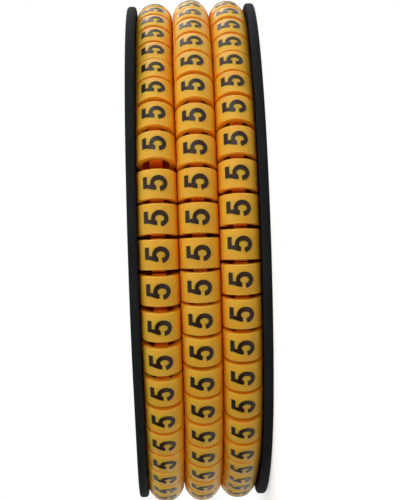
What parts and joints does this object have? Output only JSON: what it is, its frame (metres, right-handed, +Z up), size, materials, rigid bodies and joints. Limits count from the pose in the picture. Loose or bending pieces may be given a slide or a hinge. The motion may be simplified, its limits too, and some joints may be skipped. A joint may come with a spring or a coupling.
{
  "type": "cable marker reel",
  "caption": "Flat two-part spool with rounded flanges, holding lanes of slit tubular marker strip that tears off into printed sleeves for wires.",
  "frame": {"origin": "middle of the lower flange's outer face, which the reel lies on", "axes": "+Z up along the reel's axis, -Y towards the picture's camera, +X towards the top of the picture"},
  "size_m": [0.0922, 0.092, 0.0228],
  "materials": {
    "spool": "moulded black polystyrene, satin",
    "strip": "soft amber PVC, satin, slightly translucent"
  },
  "bodies": {
    "root": {"spool_base": "spool", "spool_cap": "spool", "lower_strip": "strip", "middle_strip": "strip", "upper_strip": "strip"}
  },
  "joints": []
}
